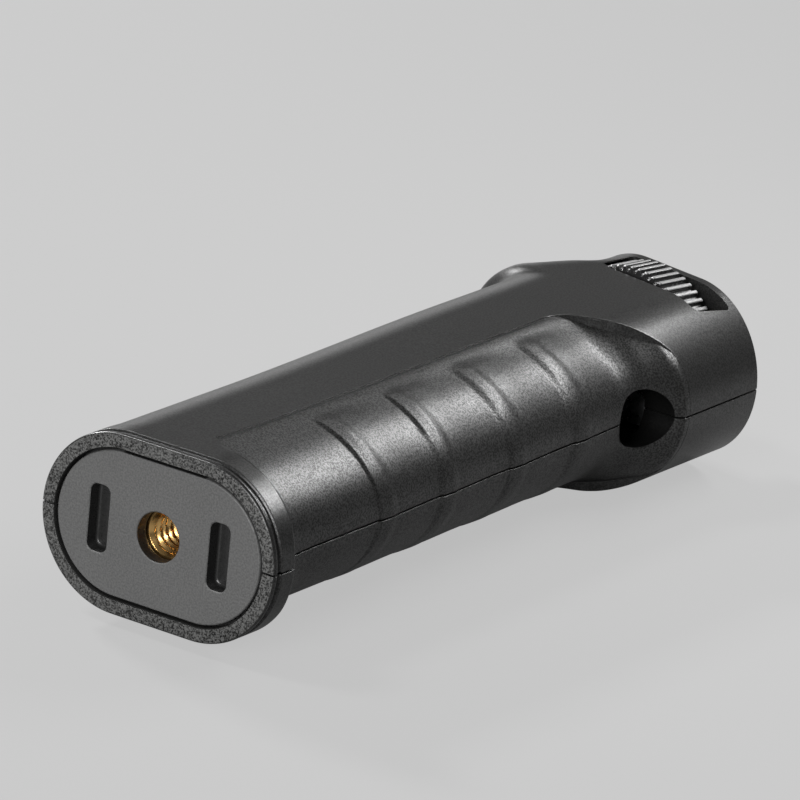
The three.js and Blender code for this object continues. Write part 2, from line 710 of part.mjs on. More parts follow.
// The origin is under the middle of the grip, on the surface that it lies on
const model = new THREE.Group();
model.add(grip);
model.updateMatrixWorld(true);
const box = new THREE.Box3().setFromObject(grip, true);
const middle = box.getCenter(new THREE.Vector3());
grip.position.set(-middle.x, -middle.y, -box.min.z);

export default model;
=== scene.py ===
"""Looks of the flash grip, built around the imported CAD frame. Run as a script; laid out as an add-on."""
import json
import math

import bmesh
import bpy
import numpy as np
from bpy.props import FloatProperty, FloatVectorProperty, IntProperty, PointerProperty
from mathutils import Matrix, Vector


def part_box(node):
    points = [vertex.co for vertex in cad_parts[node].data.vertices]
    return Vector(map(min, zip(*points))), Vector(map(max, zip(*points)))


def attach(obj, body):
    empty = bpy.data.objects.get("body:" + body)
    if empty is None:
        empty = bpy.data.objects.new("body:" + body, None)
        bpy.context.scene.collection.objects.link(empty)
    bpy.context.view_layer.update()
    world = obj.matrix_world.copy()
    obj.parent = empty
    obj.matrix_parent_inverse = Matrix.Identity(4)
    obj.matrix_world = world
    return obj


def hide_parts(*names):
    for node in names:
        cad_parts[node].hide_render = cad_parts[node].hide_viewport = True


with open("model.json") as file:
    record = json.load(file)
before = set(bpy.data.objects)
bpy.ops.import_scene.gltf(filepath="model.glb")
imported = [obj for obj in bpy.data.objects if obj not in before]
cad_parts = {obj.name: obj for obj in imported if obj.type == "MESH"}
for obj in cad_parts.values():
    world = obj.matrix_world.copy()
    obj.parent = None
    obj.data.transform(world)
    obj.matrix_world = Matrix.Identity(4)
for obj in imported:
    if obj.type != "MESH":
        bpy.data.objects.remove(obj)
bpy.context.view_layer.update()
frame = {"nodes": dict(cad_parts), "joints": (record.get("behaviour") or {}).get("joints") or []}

bl_info = {
    "name": "Flash grip",
    "version": (1, 0, 0),
    "blender": (4, 5, 0),
    "location": "3D View > Sidebar > Flash grip",
    "description": "Moulded shells, base plate, thumbwheel, pad and studio of a flash grip",
    "category": "Object",
}

MM = 0.001

# Places. The grip lies along Y: X points to the finger side, Y from base to head, Z to the right side.
# Pieces are modelled in millimetres from the middle of the base face, and in the head from its end face.
plate_low, plate_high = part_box("base_plate")
PLATE_SINK = 0.2
plate_middle = [(low + high) / 2 for low, high in zip(plate_low, plate_high)]
AXIS = Vector((plate_middle[0], plate_low[1] - PLATE_SINK * MM, plate_middle[2]))
JOINT = next(j for j in frame["joints"] if j["name"] == "wheel_spin")
HEAD_UP = Vector(JOINT["axis"]).normalized()
HEAD_FRONT = Vector((HEAD_UP.y, -HEAD_UP.x, 0))
TILT = math.atan2(HEAD_UP.x, HEAD_UP.y)
LEFT_SIDE = Vector((0, 0, -1))
END_CENTRE = (Vector(JOINT["pos_m"]) - AXIS) / MM
IN_HANDLE = Matrix((Vector((1, 0, 0)), LEFT_SIDE, Vector((0, 1, 0)))).transposed().to_4x4()
IN_HEAD = Matrix.Translation(END_CENTRE) @ Matrix((HEAD_FRONT, LEFT_SIDE, HEAD_UP)).transposed().to_4x4()
IN_FRAME = Matrix.Translation(AXIS) @ Matrix.Scale(MM, 4)


# Settings

def millimetres(name, description, default, low=0.0):
    """A size in millimetres"""
    return FloatProperty(name=name, description=description, default=default, min=low)


def base_colour(name, description, red, green, blue):
    """A base colour, as linear light"""
    return FloatVectorProperty(name=name, description=description, subtype="COLOR", size=3, min=0, max=1,
                               default=(red, green, blue))


class FlashGripSizes(bpy.types.PropertyGroup):
    """Sizes of the small forms, in millimetres"""
    ridge_height: millimetres("Finger ridge", "Height of each finger ridge", 0.44)
    crease_depth: millimetres("Crease", "Depth of the groove beside the finger zone", 0.1)
    groove_depth: millimetres("Rim groove", "Depth of the groove round the base", 0.45)
    lip_radius: millimetres("Hole lip", "Round edge of the cross hole", 0.9, 0.1)
    seam_half: millimetres("Half seam", "Half of the gap between the shells", 0.15, 0.01)
    pitch: millimetres("Thread pitch", "Pitch of the quarter-inch thread", 1.27, 0.1)
    thread_depth: millimetres("Thread depth", "Depth of the quarter-inch thread", 0.68)
    left_ridges: FloatProperty(name="Left ridges", description="Share of the ridge height on the left half",
                               subtype="FACTOR", default=0.4, min=0, max=1)
    rib_count: IntProperty(name="Wheel ribs", description="Ribs round the thumbwheel", default=60, min=3)
    rib_height: millimetres("Wheel rib", "Height of a rib of the thumbwheel", 0.75, 0.1)


class FlashGripColours(bpy.types.PropertyGroup):
    """Base colours of the finishes"""
    shell: base_colour("Shell", "Satin plastic of the shells", 0.018, 0.018, 0.0176)
    plate: base_colour("Plate", "Fine-grained plastic of the base plate", 0.115, 0.115, 0.114)
    wheel: base_colour("Wheel", "Smooth plastic of the thumbwheel", 0.024, 0.024, 0.024)
    rubber: base_colour("Rubber", "Rubber of the pad", 0.014, 0.014, 0.014)
    brass: base_colour("Brass", "Brass of the insert and the bush", 0.88, 0.55, 0.21)
    steel: base_colour("Steel", "Plated steel of bolt, screws and spring", 0.60, 0.60, 0.61)
    nylon: base_colour("Nylon", "Washers", 0.70, 0.67, 0.60)


class FlashGripStudio(bpy.types.PropertyGroup):
    """Camera and floor"""
    camera_place: FloatVectorProperty(
        name="Camera place", description="From the middle of the base face, in metres",
        subtype="XYZ", unit="LENGTH", size=3, default=(0.53877, -0.76678, 0.33959))
    lens: FloatProperty(
        name="Lens", description="Focal length on a 36 mm sensor", unit="CAMERA", default=315.0)
    backdrop: base_colour("Backdrop", "Pale grey that the camera sees behind the grip", 0.62, 0.62, 0.62)
    floor: base_colour("Floor", "Paper under the grip, as it lights the grip from below", 0.2, 0.2, 0.2)


# Modelling helpers

TOUCH = 1e-3  # millimetres within which a vertex lies at a level
FLAT_LIGHT_LIMIT = 40000  # faces; the shells have more, and keep their own normals


def deselect():
    if bpy.context.object and bpy.context.object.mode != "OBJECT":
        bpy.ops.object.mode_set(mode="OBJECT")
    bpy.ops.object.select_all(action="DESELECT")


def only(obj):
    deselect()
    obj.select_set(True)
    bpy.context.view_layer.objects.active = obj


def fix_place(obj):
    """Moves an object's place, turn and scale into its mesh"""
    only(obj)
    bpy.ops.object.transform_apply(location=True, rotation=True, scale=True)
    return obj


def put(obj, *places):
    for place in places:
        obj.matrix_world = place @ obj.matrix_world
    return fix_place(obj)


def pick(obj, kind, test):
    """Opens a mesh for editing with only those vertices, edges or faces selected that pass the test"""
    only(obj)
    bpy.ops.object.mode_set(mode="EDIT")
    bpy.ops.mesh.select_mode(type=kind)
    bpy.ops.mesh.select_all(action="DESELECT")
    mesh = bmesh.from_edit_mesh(obj.data)
    for item in {"VERT": mesh.verts, "EDGE": mesh.edges, "FACE": mesh.faces}[kind]:
        if test(item):
            item.select_set(True)
    bmesh.update_edit_mesh(obj.data)


def close_edit():
    bpy.ops.object.mode_set(mode="OBJECT")


def rod(radius, low, high, sides=96):
    """A cylinder along Z"""
    deselect()
    bpy.ops.mesh.primitive_cylinder_add(vertices=sides, radius=radius, depth=high - low,
                                        location=(0, 0, (low + high) / 2), rotation=(0, 0, math.pi / sides))
    return fix_place(bpy.context.object)


def stadium(length, width, low, high, sides=96):
    """A cylinder along Z with its two halves drawn apart along X"""
    obj = rod(width / 2, low, high, sides)
    for way in (-1, 1):
        pick(obj, "VERT", lambda vert: vert.co.x * way > 0)
        bpy.ops.transform.translate(value=(way * (length - width) / 2, 0, 0))
        close_edit()
    return obj


def block(low, high):
    """A box from corner to corner"""
    low, high = Vector(low), Vector(high)
    deselect()
    bpy.ops.mesh.primitive_cube_add(size=1, location=(low + high) / 2, scale=high - low)
    return fix_place(bpy.context.object)


def round_edges(obj, test, radius, segments=3):
    pick(obj, "EDGE", test)
    bpy.ops.mesh.bevel(offset=radius, segments=segments, affect="EDGES", offset_type="OFFSET")
    close_edit()
    return obj


def upright(edge):
    a, b = (vert.co for vert in edge.verts)
    return abs(a.z - b.z) > 0.9 * (a - b).length


def pull_out(by):
    """Draws the selected faces out along Z"""
    bpy.ops.mesh.extrude_region_move(TRANSFORM_OT_translate={"value": (0, 0, by)})


def taper(obj, above, wide, long):
    """Scales what lies above a level"""
    pick(obj, "VERT", lambda vert: vert.co.z > above)
    bpy.ops.transform.resize(value=(wide, long, 1), center_override=(0, 0, 0))
    close_edit()
    return obj


def flared(cutter, edge):
    """Widens the lower end of a cutter, so that the cut gets a small slanted edge there"""
    low = min(corner[2] for corner in cutter.bound_box)
    wide, long = cutter.dimensions.x, cutter.dimensions.y
    centre = sum((Vector(corner) for corner in cutter.bound_box), Vector()) / 8
    pick(cutter, "FACE", lambda face: all(abs(vert.co.z - low) < TOUCH for vert in face.verts))
    pull_out(-edge)
    wider = (1 + 2 * edge / wide, 1 + 2 * edge / long, 1)
    bpy.ops.transform.resize(value=wider, center_override=(*centre.xy, low - edge))
    pull_out(-1)
    close_edit()
    return cutter


def sharp_at(level, angle=0.5):
    """A test for the sharp edges that lie at one height"""
    def test(edge):
        flat = all(abs(vert.co.z - level) < TOUCH for vert in edge.verts)
        return flat and len(edge.link_faces) == 2 and edge.calc_face_angle() > angle
    return test


def modify(obj, kind, **settings):
    """Applies a modifier with its settings"""
    only(obj)
    change = obj.modifiers.new("change", kind)
    for key, value in settings.items():
        setattr(change, key, value)
    bpy.ops.object.modifier_apply(modifier=change.name)


def combine(obj, other, operation="DIFFERENCE", keep=False):
    """Cuts a piece with another one, or joins the two; the other is used up unless it is kept"""
    modify(obj, "BOOLEAN", operation=operation, solver="MANIFOLD", object=other)
    if not keep:
        bpy.data.objects.remove(other, do_unlink=True)
    return obj


def lay_points(obj, points):
    """Moves every vertex of a mesh to its own point, as in sculpting"""
    obj.data.vertices.foreach_set("co", np.asarray(points, dtype=np.float32).ravel())
    obj.data.update()


def sheet(columns, rows, points):
    """A sheet of faces through rows of points"""
    deselect()
    bpy.ops.mesh.primitive_grid_add(x_subdivisions=columns - 1, y_subdivisions=rows - 1, size=2)
    lay_points(bpy.context.object, points)
    return bpy.context.object


def outward(obj):
    """Merges doubles and turns every face outwards"""
    pick(obj, "VERT", lambda vert: True)
    bpy.ops.mesh.remove_doubles(threshold=0.0005)
    bpy.ops.mesh.select_all(action="SELECT")
    bpy.ops.mesh.normals_make_consistent(inside=False)
    close_edit()
    return obj


def close_holes(obj):
    """Puts a face in every open edge loop"""
    pick(obj, "EDGE", lambda edge: False)
    bpy.ops.mesh.select_non_manifold()
    bpy.ops.mesh.fill_holes(sides=0)
    close_edit()
    return outward(obj)


def copy_of(obj, name):
    twin = obj.copy()
    twin.data = obj.data.copy()
    twin.name = twin.data.name = name
    bpy.context.scene.collection.objects.link(twin)
    return twin


def finish_piece(obj, name, finish, body, nodes, place=Matrix.Identity(4), smooth=30):
    """Puts a finished piece into the frame with its material, its body and the CAD node that it stands for"""
    put(obj, place, IN_FRAME)
    obj.name = obj.data.name = name
    bpy.ops.object.shade_smooth_by_angle(angle=math.radians(smooth))
    if len(obj.data.polygons) < FLAT_LIGHT_LIMIT:
        modify(obj, "WEIGHTED_NORMAL", keep_sharp=True)
    if finish:
        dress(obj, finish)
    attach(obj, body)
    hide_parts(*nodes)
    return obj


# Curves

def smooth_curve(knots):
    """A curve through (x, y) knots that is smooth and never overshoots them"""
    x, y = np.array(knots, float).T
    run, slope = np.diff(x), np.diff(y) / np.diff(x)
    turn = np.zeros_like(y)
    turn[0], turn[-1] = slope[0], slope[-1]
    for i in range(1, len(x) - 1):
        if slope[i - 1] * slope[i] > 0:
            a, b = 2 * run[i] + run[i - 1], run[i] + 2 * run[i - 1]
            turn[i] = (a + b) / (a / slope[i - 1] + b / slope[i])

    def at(v):
        v = np.clip(v, x[0], x[-1])
        i = np.clip(np.searchsorted(x, v, side="right") - 1, 0, len(run) - 1)
        t = (v - x[i]) / run[i]
        return (y[i] * (1 + 2 * t) * (1 - t) ** 2 + turn[i] * run[i] * t * (1 - t) ** 2
                + y[i + 1] * t * t * (3 - 2 * t) + turn[i + 1] * run[i] * t * t * (t - 1))
    return at


def ease(v, start, end):
    """0 before start, 1 after end, smooth between"""
    t = np.clip((v - start) / (end - start), 0, 1)
    return t * t * (3 - 2 * t)


def spread(start, end, step):
    return np.linspace(start, end, max(2, int(round(abs(end - start) / step)) + 1))


# Form of the shells. f runs to the finger side, l from the base to the head and s out to the right side.

HANDLE, BASE_HALF, HEAD_HALF, FLAT_FRONT = 91.0, 13.65, 14.0, 22.2
HEAD_START, HEAD_END = 100.0, 134.658  # l where the head starts to lean, and of the end face's back edge
END_ROUND = 0.5
FAR = 140  # past the head, where a curve that goes on level ends
back_reach = smooth_curve([
    (0, 20.7), (4.5, 20.7), (8.2, 20.42), (33.7, 20.4), (HANDLE, 21.4), (109, 21.4), (110.6, 21.55),
    (111.8, 21.95), (113, 23.2), (114, 24.3), (115, 24.85), (115.9, 24.9), (117.1, 24.3), (119, 23.3),
    (121.2, 22.2), (123.3, 21.0), (125.6, 19.2), (127.8, 17.9), (130, 17.3), (132.5, 17.0),
    (HEAD_END, 16.93)])
front_reach = smooth_curve([(0, 20.7), (33.7, 20.7), (HANDLE, FLAT_FRONT), (FAR, FLAT_FRONT)])
half_width = smooth_curve([(0, BASE_HALF), (33.7, BASE_HALF), (HANDLE, HEAD_HALF), (FAR, HEAD_HALF)])
crease_front = smooth_curve([(9.4, 2.0), (14, 2.4), (25, 2.7), (60, 2.9), (92.5, 3.0), (FAR, 3.0)])
rim_line = smooth_curve([
    (2.9, 91.8), (3.25, 93.8), (3.9, 95.5), (5.0, 96.8), (6.7, 97.8), (9, 98.85), (11.5, 100.3),
    (12.8, 101.25), (15, 102.9), (16.4, 104.1), (17.4, 104.95), (18.4, 105.7), (19.3, 106.1), (20.3, 106.4),
    (22.3, 106.6)])
CREASE_LOW, CREASE_HIGH, FLANGE_L = 9.4, 91.8, 5.0
flange_line = smooth_curve([
    (2.0, CREASE_LOW), (3.5, 8.35), (5.5, 7.3), (8, 6.5), (11, 6.0), (15, 5.75), (18.5, 5.7), (20.2, 5.2),
    (21, FLANGE_L), (24, FLANGE_L)])
core_front = smooth_curve([
    (HANDLE, 17.2), (94, 17.25), (96, 17.45), (98.5, 18.1), (101, 19.15), (104, 20.9), (106, 22.65),
    (107.6, 23.9)])
core_half = smooth_curve([
    (HANDLE, 13.1), (95, 13.25), (98, 13.6), (101, 14.15), (104, 14.8), (106, 15.4), (107.6, 16)])
core_power = smooth_curve([(HANDLE, 2), (95, 2), (98, 2.1), (101, 2.35), (104, 2.4), (106, 2.1), (107.6, 2)])
neck = smooth_curve([(FLANGE_L, 1.7), (7.0, 0.78), (9.5, 0.24), (13.5, 0.0)])
RIDGES = [(28.6, 31.0), (46.3, 46.8), (63.8, 65.0), (81.2, 82.2)]  # l at the crease and at the parting line
OVAL_FRONT = 0.7
HOLE_L, HOLE_R = 99.7, 4.7
LIP_SHARE = 0.8  # of the lip's radius that is rounded, so that its inner edge isn't steep
GROOVE_END = 2.05
SEAM_EDGE = 0.04
UNDER_SIDE, UNDER_OUTER = 0.14, 0.02  # how far the finger zone stays below its neighbours
SETTLE = 80  # rounds until a row has found the line that it should end on


def lean_at(back_l):
    return TILT * np.clip((back_l - HEAD_START) / (HEAD_END - HEAD_START), 0, 1)


def lip_drop(l, s, radius):
    """How far the surface falls into the cross hole's round lip"""
    reach = LIP_SHARE * radius
    short = np.clip(HOLE_R + reach - np.hypot(l - HOLE_L, s), 0, reach)
    return radius - np.sqrt(radius ** 2 - short ** 2)


def hull_point(back_l, c, inset=0.0):
    """A point of the outer form: c goes 0 to 1 round the back, to 2 along the side, to 3 round the front"""
    lean = lean_at(back_l)
    back, half = back_reach(back_l), half_width(back_l)
    deep = (front_reach(back_l) + back) / np.cos(lean)
    turn = np.where(c < 1, c, np.where(c > 2, c - 2, 0)) * math.pi / 2
    tight = half - inset
    d = np.where(c < 1, half - tight * np.cos(turn),
                 np.where(c > 2, deep - half + tight * np.sin(turn), half + (c - 1) * (deep - 2 * half)))
    s = np.where(c < 1, tight * np.sin(turn), np.where(c > 2, tight * np.cos(turn), tight))
    return -back + d * np.cos(lean), back_l - d * np.sin(lean), s


def side_share(f, back_l):
    """c of the point of the outer form that has this f"""
    half, front, back = half_width(back_l), front_reach(back_l), back_reach(back_l)
    turn = np.arcsin(np.clip((f - front + half) / half, 0, 1)) / (math.pi / 2)
    return np.where(f > front - half, 2 + turn, 1 + (f + back - half) / (front + back - 2 * half))


def ridge_rise(l, u, height):
    """Each ridge is a low band: steep on its base side, then falling softly into the next finger pad"""
    rise = np.zeros_like(l)
    for low, high in RIDGES:
        since = l - (low + (high - low) * u)
        band = 0.7 * ease(since, -0.35, 0.35) + 0.3 * ease(since, 0.2, 2.8)
        rise += height * band * (1 - 0.4 * ease(since, 2.6, 4.8) - 0.6 * ease(since, 4.2, 14.0))
    return rise


def finger_point(l, u, sizes, ridges):
    """A point of the finger zone: u runs from the crease to the seam, ridges is their share of full height"""
    above = np.maximum(l, HANDLE)
    front, half, power = core_front(above) + neck(l), core_half(above), core_power(above)
    crease = crease_front(l)
    side = np.clip((crease - OVAL_FRONT) / (front - OVAL_FRONT), 0.001, 1)
    turn = np.arccos(side ** (power / 2)) * (1 - u)
    f = OVAL_FRONT + (front - OVAL_FRONT) * np.cos(turn) ** (2 / power)
    s = half * np.sin(turn) ** (2 / power)
    fade = ease(f, 4.8, 7.0) * (1 - ease(l, 95, 99))
    share = ridges + (1 - ridges) * ease(u, 0.5, 0.95)
    rise = ridge_rise(l, u, sizes.ridge_height * share) * fade
    nf, ns = (f - OVAL_FRONT) / (front - OVAL_FRONT) ** 2, s / half ** 2
    size = np.hypot(nf, ns)
    f, s = f + rise * nf / size, s + rise * ns / size
    # towards the crease the zone swells to just below the side face
    edge = half * (1 - side ** power) ** (1 / power)
    away = f - crease
    s = s + np.maximum(half_width(l) - UNDER_SIDE - edge, 0) * np.exp(-(away / 2.6) ** 2)
    crease_cut = (1 - ease(away, 0.12, 0.42)) * (1 - ease(l, 93, 97)) * ease(l, CREASE_LOW, 16)
    s = s - sizes.crease_depth * crease_cut
    # nothing stands out of the outer form
    middle, limit = FLAT_FRONT - HEAD_HALF, HEAD_HALF - UNDER_OUTER
    pull = np.where(f > middle, limit / np.maximum(np.hypot(f - middle, s), limit), 1)
    f, s = np.where(f > middle, middle + (f - middle) * pull, f), np.minimum(s * pull, limit)
    # the last columns turn in at the seam
    f, s = f.copy(), s.copy()
    s[..., -2], s[..., -1] = sizes.seam_half + SEAM_EDGE, sizes.seam_half
    f[..., -1] = f[..., -1] - SEAM_EDGE
    return f - lip_drop(l, s, sizes.lip_radius), s


def shell_rows(sizes, ridges):
    """The outer form of the right shell: rows from base to head, columns from the back round to the front"""
    seam = sizes.seam_half
    seam_c, seam_edge_c = [math.asin(s / HEAD_HALF) * 2 / math.pi for s in (seam, seam + SEAM_EDGE)]
    back = np.concatenate([[seam_c, seam_edge_c], np.linspace(0.035, 1, 40)])
    back_inset = np.array([SEAM_EDGE] + [0.0] * (len(back) - 1))
    side = np.concatenate([np.linspace(0.04, 0.93, 22), [0.965, 0.985, 0.995, 1.0]])
    front = np.concatenate([[0, 0.0025, 0.006, 0.011, 0.018, 0.028, 0.042], spread(0.06, 0.64, 0.0155),
                            spread(0.65, 0.975, 0.0085), [0.988, 1.0]])
    columns = len(back) + len(side)
    turned = np.zeros(len(front))
    turned[-1] = SEAM_EDGE

    def side_c(l):
        return np.concatenate([back, 1 + side * (side_share(crease_front(l), l) - 1)])

    def front_c(l, f):
        """c of the columns in front of the crease, spaced as in the finger zone"""
        share = (f - f[0]) / (f[-2] - f[0])
        crease = crease_front(l)
        c = side_share(crease + np.clip(share, 0, 1) * (front_reach(l) - crease), l)
        c = np.minimum(c, 3 - seam_edge_c)
        c[-1] = 3 - seam_c
        return c

    def outer_row(l, c, inset=0.0):
        f, y, s = hull_point(l, c, inset + np.concatenate([back_inset, np.zeros(len(side)), turned]))
        s[0] = s[-1] = seam
        f = f + np.where(f < 0, lip_drop(y, s, sizes.lip_radius), 0)
        return np.stack([f, y, s], 1)

    rows = []
    low_f = finger_point(np.full(len(front), FLANGE_L), front, sizes, ridges)[0]
    low_c = np.concatenate([side_c(CREASE_LOW), front_c(FLANGE_L, low_f)])
    # base: round edge, then the groove
    for l, inset in [(0.0, 0.4), (0.04, 0.24), (0.12, 0.12), (0.24, 0.04), (0.4, 0.0), (0.66, 0.0)]:
        rows.append(outer_row(np.full(len(low_c), l), low_c, inset))
    for l, depth in [(0.74, 0.1), (0.8, 0.85), (0.9, 1), (1.7, 1), (1.84, 0.8), (1.96, 0.2), (GROOVE_END, 0)]:
        rows.append(outer_row(np.full(len(low_c), l), low_c, depth * sizes.groove_depth))
    # flange, up to where the finger zone starts
    top = np.full(len(low_c), CREASE_LOW)
    top[columns:] = flange_line(hull_point(np.full(len(front), FLANGE_L), low_c[columns:])[0])
    for share in np.linspace(0, 1, 16)[1:]:
        rows.append(outer_row(GROOVE_END + share * (top - GROOVE_END), low_c, 0.1 * (share == 1) * (top < 8)))
    # finger zone, with the handle's side beside it
    low_l, high_l = np.full(len(front), 6.0), np.full(len(front), 99.0)
    for _ in range(SETTLE):
        low_l = 0.5 * low_l + 0.5 * flange_line(finger_point(low_l, front, sizes, ridges)[0])
        high_l = 0.7 * high_l + 0.3 * rim_line(finger_point(high_l, front, sizes, ridges)[0])
    steps = [spread(0.0, 0.02, 0.004), spread(0.02, 0.93, 0.0062), spread(0.93, 1, 0.0025)]
    for low, high in RIDGES:
        share = ((low + high) / 2 - CREASE_LOW) / (CREASE_HIGH - CREASE_LOW)
        steps.append(spread(share - 0.035, share + 0.05, 0.0024))
    shares = np.unique(np.round(np.concatenate(steps), 5))
    keep, closest = [shares[0]], 0.0019
    for share in shares[1:]:
        if share - keep[-1] > closest:
            keep.append(share)
    keep[-1] = 1.0
    for share in keep:
        l_side = np.full(columns, CREASE_LOW + share * (CREASE_HIGH - CREASE_LOW))
        f1, y1, s1 = hull_point(l_side, side_c(l_side[0]), np.concatenate([back_inset, np.zeros(len(side))]))
        s1[0] = seam
        s1[-1] = s1[-1] - 0.015 * ease(l_side[-1], CREASE_LOW, 14)
        l_front = low_l + share * (high_l - low_l)
        f2, s2 = finger_point(l_front, front, sizes, ridges)
        rows.append(np.stack([np.r_[f1, f2], np.r_[y1, l_front], np.r_[s1, s2]], 1))
    # head, from the edge of the finger zone to the end face
    high_f = finger_point(high_l, front, sizes, ridges)[0]
    high_c = np.concatenate([side_c(CREASE_HIGH), front_c(HANDLE, high_f)])
    start = np.full(len(high_c), CREASE_HIGH)
    start[columns:] = HEAD_START
    for _ in range(SETTLE):
        f, y = hull_point(start, high_c)[:2]
        start[columns:] += 0.4 * (rim_line(f) - y)[columns:]
    rim_drop = np.zeros(len(high_c))
    rim_drop[columns:] = 1 - 0.7 * ease(front, 0.35, 0.8)
    for share in np.concatenate([[0, 0.004, 0.01], np.linspace(0.018, 0.955, 74), [0.97, 0.985, 1]]):
        drop = {0: 0.22, 0.004: 0.05}.get(share, 0.0)
        rows.append(outer_row(start + share * (HEAD_END - END_ROUND - start), high_c, drop * rim_drop))
    for turn in np.linspace(0, math.pi / 2, 6)[1:]:
        row = outer_row(np.full(len(high_c), HEAD_END), high_c, END_ROUND * (1 - math.cos(turn)))
        row[:, :2] -= np.array(HEAD_UP[:2]) * END_ROUND * (1 - math.sin(turn))
        rows.append(row)
    return np.array(rows)


# Finishes

def fill(tree, node, inputs):
    """Sets a node's inputs to numbers and colours, or links them to the outputs of other nodes"""
    for key, value in inputs.items():
        if isinstance(value, bpy.types.NodeSocket):
            tree.links.new(value, node.inputs[key])
        else:
            node.inputs[key].default_value = value
    return node


def add_node(tree, kind, inputs, **settings):
    node = tree.nodes.new(kind)
    for key, value in settings.items():
        setattr(node, key, value)
    return fill(tree, node, inputs)


def math_node(tree, operation, first, second):
    """The sum, product or greater of two values"""
    return add_node(tree, "ShaderNodeMath", {0: first, 1: second}, operation=operation).outputs[0]


def noise(tree, place, scale, detail=2.0, roughness=0.5):
    inputs = {"Vector": place, "Scale": scale, "Detail": detail, "Roughness": roughness}
    return add_node(tree, "ShaderNodeTexNoise", inputs).outputs["Fac"]


def spread_to(tree, value, low, high, from_low=0.3, from_high=0.7):
    inputs = {"Value": value, "From Min": from_low, "From Max": from_high, "To Min": low, "To Max": high}
    return add_node(tree, "ShaderNodeMapRange", inputs).outputs["Result"]


def shade(colour, share):
    return tuple(min(1.0, c * share) for c in colour)


def principled(name, base, roughness, metallic=0.0, specular=0.5):
    """A new material's node tree, its principled shader and its Object coordinates"""
    material = bpy.data.materials.new(name)
    material.use_nodes = True
    tree = material.node_tree
    inputs = {"Base Color": (*base, 1), "Roughness": roughness, "Metallic": metallic}
    shader = fill(tree, tree.nodes["Principled BSDF"], inputs | {"Specular IOR Level": specular})
    return tree, shader, add_node(tree, "ShaderNodeTexCoord", {}).outputs["Object"]


def grain(tree, shader, height, depth, edge):
    """Fine relief, and soft edges for the light where faces meet; both sizes in millimetres"""
    soft = add_node(tree, "ShaderNodeBevel", {"Radius": edge * MM}, samples=6).outputs["Normal"]
    relief = {"Strength": 1.0, "Distance": depth * MM, "Height": height, "Normal": soft}
    fill(tree, shader, {"Normal": add_node(tree, "ShaderNodeBump", relief).outputs["Normal"]})


def tint(tree, shader, value, dark, light):
    """Changes of tone between two colours"""
    inputs = {"A": (*dark, 1), "B": (*light, 1), "Factor": value}
    tone = add_node(tree, "ShaderNodeMix", inputs, data_type="RGBA").outputs["Result"]
    fill(tree, shader, {"Base Color": tone})


def moulded(name, base, roughness, scale, depth, speckle=0.12, gloss=0.04, edge=0.12, specular=0.5,
            glint=0.1):
    """Moulded plastic or rubber: a fine relief with specks of tone and gloss, and slow changes of tone"""
    tree, shader, place = principled(name, base, roughness, specular=specular)
    fine = noise(tree, place, scale, 1.0, 0.6)
    grain(tree, shader, fine, depth, edge)
    coarse = noise(tree, place, scale * 0.55, 1.0)
    shine = spread_to(tree, fine, specular * (1 - glint), specular * (1 + glint), 0.4, 0.6)
    rough = spread_to(tree, coarse, roughness - gloss, roughness + gloss)
    fill(tree, shader, {"Roughness": rough, "Specular IOR Level": shine})
    slow = spread_to(tree, noise(tree, place, 90, 4.0), 0.0, 0.25)
    tone = math_node(tree, "ADD", spread_to(tree, fine, 0.0, 0.75, 0.36, 0.64), slow)
    tint(tree, shader, tone, shade(base, 1 - speckle), shade(base, 1 + speckle))


def metal(name, base, roughness, scale, depth):
    """Turned or plated metal with a slight bloom"""
    tree, shader, place = principled(name, base, roughness, metallic=1.0)
    grain(tree, shader, noise(tree, place, scale, 2.0), depth, 0.08)
    slow = noise(tree, place, 500, 3.0)
    fill(tree, shader, {"Roughness": spread_to(tree, slow, roughness - 0.06, roughness + 0.09)})
    tint(tree, shader, noise(tree, place, 350, 3.0), shade(base, 0.88), shade(base, 1.08))


def finishes():
    """Every finish of the grip, made once"""
    if "shell_satin" not in bpy.data.materials:
        colours = bpy.context.scene.flash_grip_colours
        moulded("shell_satin", colours.shell, 0.31, 3600, 0.005, 0.2, 0.02, 0.05, glint=0.35)
        moulded("finger_grain", colours.shell, 0.36, 3600, 0.012, 0.4, 0.04, 0.05, glint=0.5)
        moulded("rim_grain", shade(colours.shell, 4.2), 0.36, 3700, 0.060, 1.0, 0.10, 0.05, glint=0.5)
        # a darker copy of the shell's plastic for the cross hole: painted shade
        moulded("hole_painted_shade", shade(colours.shell, 0.25), 0.34, 3000, 0.004, specular=0.15)
        # a darker copy of the plate's plastic for its slots and throat: painted shade
        moulded("recess_gloss_painted_shade", shade(colours.plate, 0.2), 0.30, 3000, 0.004)
        moulded("plate_grained", colours.plate, 0.5, 3400, 0.015, 0.2, 0.05, 0.1)
        moulded("wheel_gloss", colours.wheel, 0.25, 2500, 0.003, edge=0.1)
        # a paler copy of the wheel's plastic for the rib tops: painted highlight
        moulded("rib_tops_painted_highlight", shade(colours.wheel, 9.5), 0.35, 2500, 0.003)
        moulded("pad_rubber", colours.rubber, 0.85, 2600, 0.02, 0.3, edge=0.15)
        moulded("washer_nylon", colours.nylon, 0.45, 2000, 0.005, edge=0.1)
        metal("turned_brass", colours.brass, 0.22, 2500, 0.003)
        metal("plated_steel", colours.steel, 0.28, 2500, 0.003)
    return bpy.data.materials


def dress(obj, *names):
    obj.data.materials.clear()
    for name in names:
        obj.data.materials.append(finishes()[name])


# Shells

